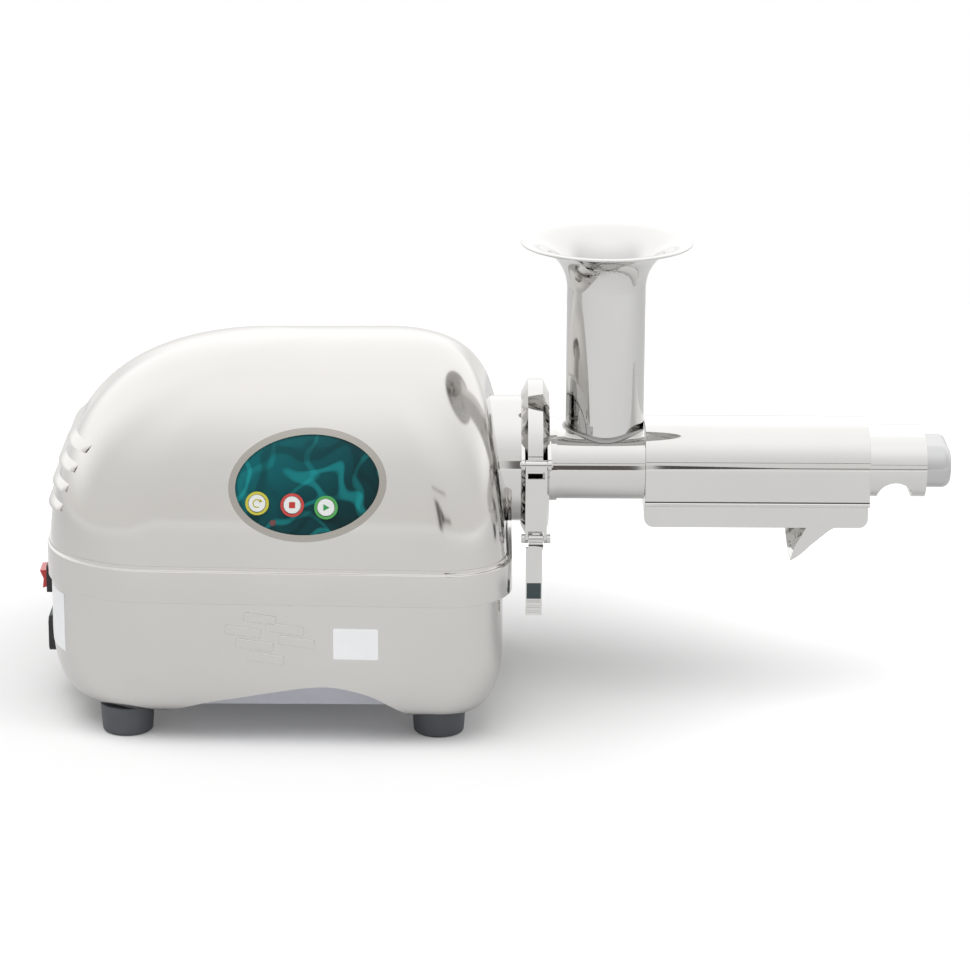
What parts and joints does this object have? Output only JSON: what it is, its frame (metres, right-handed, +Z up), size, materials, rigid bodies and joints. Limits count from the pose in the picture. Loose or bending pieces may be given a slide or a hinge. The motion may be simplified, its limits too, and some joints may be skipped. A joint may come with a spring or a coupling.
{
  "type": "cold press juicer",
  "caption": "Twin-auger cold press juicer with a domed steel motor housing, oval button panel, hopper, sliding juice cover and clamped juicing head.",
  "frame": {"origin": "on the table, under the middle of the whole machine's box", "axes": "+X along the machine from the power inlet to the pulp end, +Z up, control panel on the -Y side"},
  "size_m": [0.49, 0.1874, 0.255],
  "materials": {
    "satin_steel": "soft satin polish",
    "polished_steel": "mirror polish",
    "cast_steel": "bead-blasted",
    "dark_tray": "satin paint",
    "foot_rubber": "matte",
    "seal_rubber": "matte",
    "plain_steel": "zinc plated",
    "panel_silver": "glossy dark edge",
    "panel_teal": "glossy printed film",
    "ring_yellow": "glossy",
    "ring_red": "glossy",
    "ring_green": "glossy",
    "button_cap": "satin",
    "clear_lens": "glossy",
    "board_green": "coated",
    "black_plastic": "matte",
    "white_nylon": "matte",
    "rocker_red": "glossy",
    "brass_contact": "plain",
    "lamination": "dull",
    "copper": "enamelled copper wire",
    "cast_aluminium": "as cast",
    "fan_plastic": "matte",
    "zinc_sheet": "zinc plated",
    "gear_steel": "ground",
    "auger_steel": "ground and polished",
    "bush_bronze": "sintered bronze"
  },
  "bodies": {
    "chassis": {"top_cover": "satin_steel", "base_pan": "satin_steel", "neck": "polished_steel", "feed_barrel": "polished_steel", "hopper": "polished_steel", "screen": "polished_steel", "end_block": "polished_steel", "clamp_lower": "polished_steel", "end_cap": "cast_steel", "bottom_tray": "dark_tray", "feet": "foot_rubber", "rim_gasket": "seal_rubber", "neck_seal": "seal_rubber", "foot_screws": "plain_steel", "neck_bolts": "plain_steel", "clamp_pins": "plain_steel", "gearbox_bearings": "plain_steel", "motor_bearings": "plain_steel", "capacitor_clip": "plain_steel", "panel_bezel": "panel_silver", "panel_overlay": "panel_teal", "ring_reverse": "ring_yellow", "ring_stop": "ring_red", "ring_start": "ring_green", "power_lens": "clear_lens", "control_board": "board_green", "board_parts": "black_plastic", "switch_frame": "black_plastic", "power_inlet": "black_plastic", "run_capacitor": "black_plastic", "board_posts": "white_nylon", "inlet_pins": "brass_contact", "motor_stator": "lamination", "motor_coils": "copper", "motor_bell_front": "cast_aluminium", "motor_bell_rear": "cast_aluminium", "gearbox_case": "cast_aluminium", "gearbox_cover": "cast_aluminium", "motor_cradle": "zinc_sheet", "auger_bushes": "bush_bronze"},
    "rotor": {"rotor": "lamination", "cooling_fan": "fan_plastic", "motor_pinion": "gear_steel"},
    "lay_shaft": {"lay_gear": "gear_steel"},
    "drive": {"output_gear": "gear_steel", "output_shaft": "plain_steel", "drive_auger": "auger_steel"},
    "idler": {"idler_auger": "auger_steel"},
    "power_rocker": {"rocker": "rocker_red"},
    "reverse_button": {"button_reverse": "button_cap"},
    "stop_button": {"button_stop": "button_cap"},
    "start_button": {"button_start": "button_cap"},
    "cover_slide": {"juice_cover": "polished_steel", "juice_tray": "polished_steel", "spout": "polished_steel"},
    "clamp_half": {"clamp_upper": "polished_steel", "keeper_pin": "plain_steel"},
    "latch_link": {"clamp_link": "polished_steel", "link_pin": "plain_steel"},
    "latch_handle": {"clamp_handle": "polished_steel"}
  },
  "joints": [
    {"name": "motor_spin", "type": "hinge", "parent": "chassis", "child": "rotor", "pos_m": [-0.1, 0, 0.095], "axis": [1, 0, 0], "continuous": true},
    {"name": "lay_spin", "type": "hinge", "parent": "chassis", "child": "lay_shaft", "pos_m": [-0.04, 0.02873, 0.11669], "axis": [1, 0, 0], "continuous": true},
    {"name": "drive_spin", "type": "hinge", "parent": "chassis", "child": "drive", "pos_m": [0.05, -0.011, 0.135], "axis": [1, 0, 0], "continuous": true},
    {"name": "idler_spin", "type": "hinge", "parent": "chassis", "child": "idler", "pos_m": [0.05, 0.011, 0.135], "axis": [1, 0, 0], "continuous": true},
    {"name": "rocker_tilt", "type": "hinge", "parent": "chassis", "child": "power_rocker", "pos_m": [-0.2386, 0, 0.0682], "axis": [0, 1, 0], "range_deg": [0, 16]},
    {"name": "reverse_press", "type": "slide", "parent": "chassis", "child": "reverse_button", "axis": [0.0363, 0.9582, -0.2838], "range_m": [0, 0.0012], "stiffness_N_per_m": 400},
    {"name": "stop_press", "type": "slide", "parent": "chassis", "child": "stop_button", "axis": [0.0363, 0.9582, -0.2838], "range_m": [0, 0.0012], "stiffness_N_per_m": 400},
    {"name": "start_press", "type": "slide", "parent": "chassis", "child": "start_button", "axis": [0.0363, 0.9582, -0.2838], "range_m": [0, 0.0012], "stiffness_N_per_m": 400},
    {"name": "cover_draw", "type": "slide", "parent": "chassis", "child": "cover_slide", "axis": [1, 0, 0], "range_m": [0, 0.15]},
    {"name": "clamp_open", "type": "hinge", "parent": "chassis", "child": "clamp_half", "pos_m": [0.02265, 0.05, 0.135], "axis": [-1, 0, 0], "range_deg": [0, 24]},
    {"name": "link_swing", "type": "hinge", "parent": "clamp_half", "child": "latch_link", "pos_m": [0.02265, -0.048, 0.145], "axis": [-1, 0, 0], "range_deg": [0, 72]},
    {"name": "handle_swing", "type": "hinge", "parent": "latch_link", "child": "latch_handle", "pos_m": [0.02265, -0.048, 0.1045], "axis": [-1, 0, 0], "range_deg": [0, 120]}
  ],
  "couplings": [
    {"joint": "lay_spin", "follows": "motor_spin", "ratio": -0.2},
    {"joint": "drive_spin", "follows": "motor_spin", "ratio": 0.05},
    {"joint": "idler_spin", "follows": "motor_spin", "ratio": -0.05},
    {"joint": "link_swing", "follows": "handle_swing", "ratio": 0.6},
    {"joint": "clamp_open", "follows": "handle_swing", "ratio": 0.2}
  ]
}
